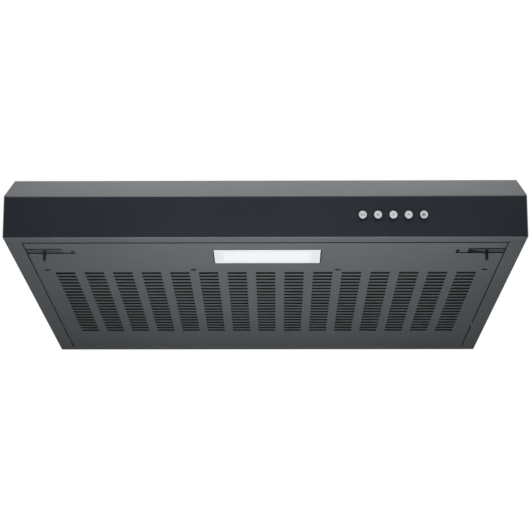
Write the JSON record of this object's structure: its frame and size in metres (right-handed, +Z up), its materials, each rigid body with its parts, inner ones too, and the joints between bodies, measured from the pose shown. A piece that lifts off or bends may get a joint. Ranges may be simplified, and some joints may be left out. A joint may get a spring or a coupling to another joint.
{
  "type": "under cabinet range hood",
  "caption": "Slim under cabinet range hood with a slotted hinged grille, push buttons on a sloping fascia, a lamp window and a round duct collar on top.",
  "frame": {"origin": "middle of the flat top that goes against the cabinet, in width and in depth", "axes": "+X to the right of a person in front of the hood, +Y towards the wall, +Z up"},
  "size_m": [0.75, 0.4958, 0.165],
  "materials": {
    "painted_steel": "satin powder coat",
    "fascia_paint": "semi-gloss powder coat",
    "galvanised_steel": "dull zinc",
    "bright_steel": "bright zinc",
    "chrome": "polished",
    "motor_steel": "dull",
    "black_plastic": "fine grained",
    "grey_plastic": "matte",
    "lamp_plastic": "frosted",
    "circuit_board": "solder mask",
    "filter_fleece": "open fleece",
    "cable_sheath": "smooth",
    "rubber": "matte"
  },
  "bodies": {
    "housing": {"side_panel_left": "painted_steel", "side_panel_right": "painted_steel", "top_panel": "painted_steel", "back_panel": "painted_steel", "front_panel": "fascia_paint", "duct_collar": "galvanised_steel", "blower_casing": "galvanised_steel", "motor_plate": "galvanised_steel", "lamp_tray": "galvanised_steel", "switch_bracket": "galvanised_steel", "hinge_bracket_left": "galvanised_steel", "hinge_bracket_right": "galvanised_steel", "damper_pin": "bright_steel", "hinge_pin_left": "bright_steel", "hinge_pin_right": "bright_steel", "casing_screw_1": "bright_steel", "casing_screw_2": "bright_steel", "casing_screw_3": "bright_steel", "casing_screw_4": "bright_steel", "collar_screw_1": "bright_steel", "collar_screw_2": "bright_steel", "collar_screw_3": "bright_steel", "collar_screw_4": "bright_steel", "motor": "motor_steel", "inlet_guard": "black_plastic", "switch_block": "black_plastic", "terminal_box": "grey_plastic", "terminal_lid": "grey_plastic", "capacitor": "grey_plastic", "led_board": "circuit_board", "motor_lead": "cable_sheath", "lamp_lead": "cable_sheath", "switch_lead": "cable_sheath", "cable_grommet": "rubber", "motor_bush_1": "rubber", "motor_bush_2": "rubber", "motor_bush_3": "rubber"},
    "grille": {"grille_panel": "painted_steel", "lamp_lens": "lamp_plastic", "grease_filter": "filter_fleece", "filter_wire_left": "bright_steel", "filter_wire_right": "bright_steel", "latch_guide_left": "galvanised_steel", "latch_guide_right": "galvanised_steel"},
    "latch_left": {"latch_bolt_left": "galvanised_steel"},
    "latch_right": {"latch_bolt_right": "galvanised_steel"},
    "impeller": {"impeller": "black_plastic", "motor_shaft": "bright_steel", "impeller_nut": "bright_steel"},
    "damper_front": {"damper_flap_front": "galvanised_steel"},
    "damper_rear": {"damper_flap_rear": "galvanised_steel"},
    "button_high": {"button_high": "chrome"},
    "button_medium": {"button_medium": "chrome"},
    "button_low": {"button_low": "chrome"},
    "button_off": {"button_off": "chrome"},
    "button_light": {"button_light": "chrome"}
  },
  "joints": [
    {"name": "grille_hinge", "type": "hinge", "parent": "housing", "child": "grille", "pos_m": [0, 0.2093, -0.108], "axis": [1, 0, 0], "range_deg": [0, 90]},
    {"name": "latch_left_slide", "type": "slide", "parent": "grille", "child": "latch_left", "axis": [-1, 0, 0], "range_m": [0, 0.009]},
    {"name": "latch_right_slide", "type": "slide", "parent": "grille", "child": "latch_right", "axis": [1, 0, 0], "range_m": [0, 0.009]},
    {"name": "impeller_spin", "type": "hinge", "parent": "housing", "child": "impeller", "pos_m": [0, -0.02, 0], "axis": [0, 0, 1], "continuous": true},
    {"name": "damper_front_swing", "type": "hinge", "parent": "housing", "child": "damper_front", "pos_m": [0, 0.145, 0.0083], "axis": [-1, 0, 0], "range_deg": [0, 75]},
    {"name": "damper_rear_swing", "type": "hinge", "parent": "housing", "child": "damper_rear", "pos_m": [0, 0.145, 0.0083], "axis": [1, 0, 0], "range_deg": [0, 75]},
    {"name": "button_high_press", "type": "slide", "parent": "housing", "child": "button_high", "axis": [0, 0.9659, 0.2588], "range_m": [0, 0.0035], "stiffness_N_per_m": 400},
    {"name": "button_medium_press", "type": "slide", "parent": "housing", "child": "button_medium", "axis": [0, 0.9659, 0.2588], "range_m": [0, 0.0035], "stiffness_N_per_m": 400},
    {"name": "button_low_press", "type": "slide", "parent": "housing", "child": "button_low", "axis": [0, 0.9659, 0.2588], "range_m": [0, 0.0035], "stiffness_N_per_m": 400},
    {"name": "button_off_press", "type": "slide", "parent": "housing", "child": "button_off", "axis": [0, 0.9659, 0.2588], "range_m": [0, 0.0035], "stiffness_N_per_m": 400},
    {"name": "button_light_press", "type": "slide", "parent": "housing", "child": "button_light", "axis": [0, 0.9659, 0.2588], "range_m": [0, 0.0035], "stiffness_N_per_m": 400}
  ]
}
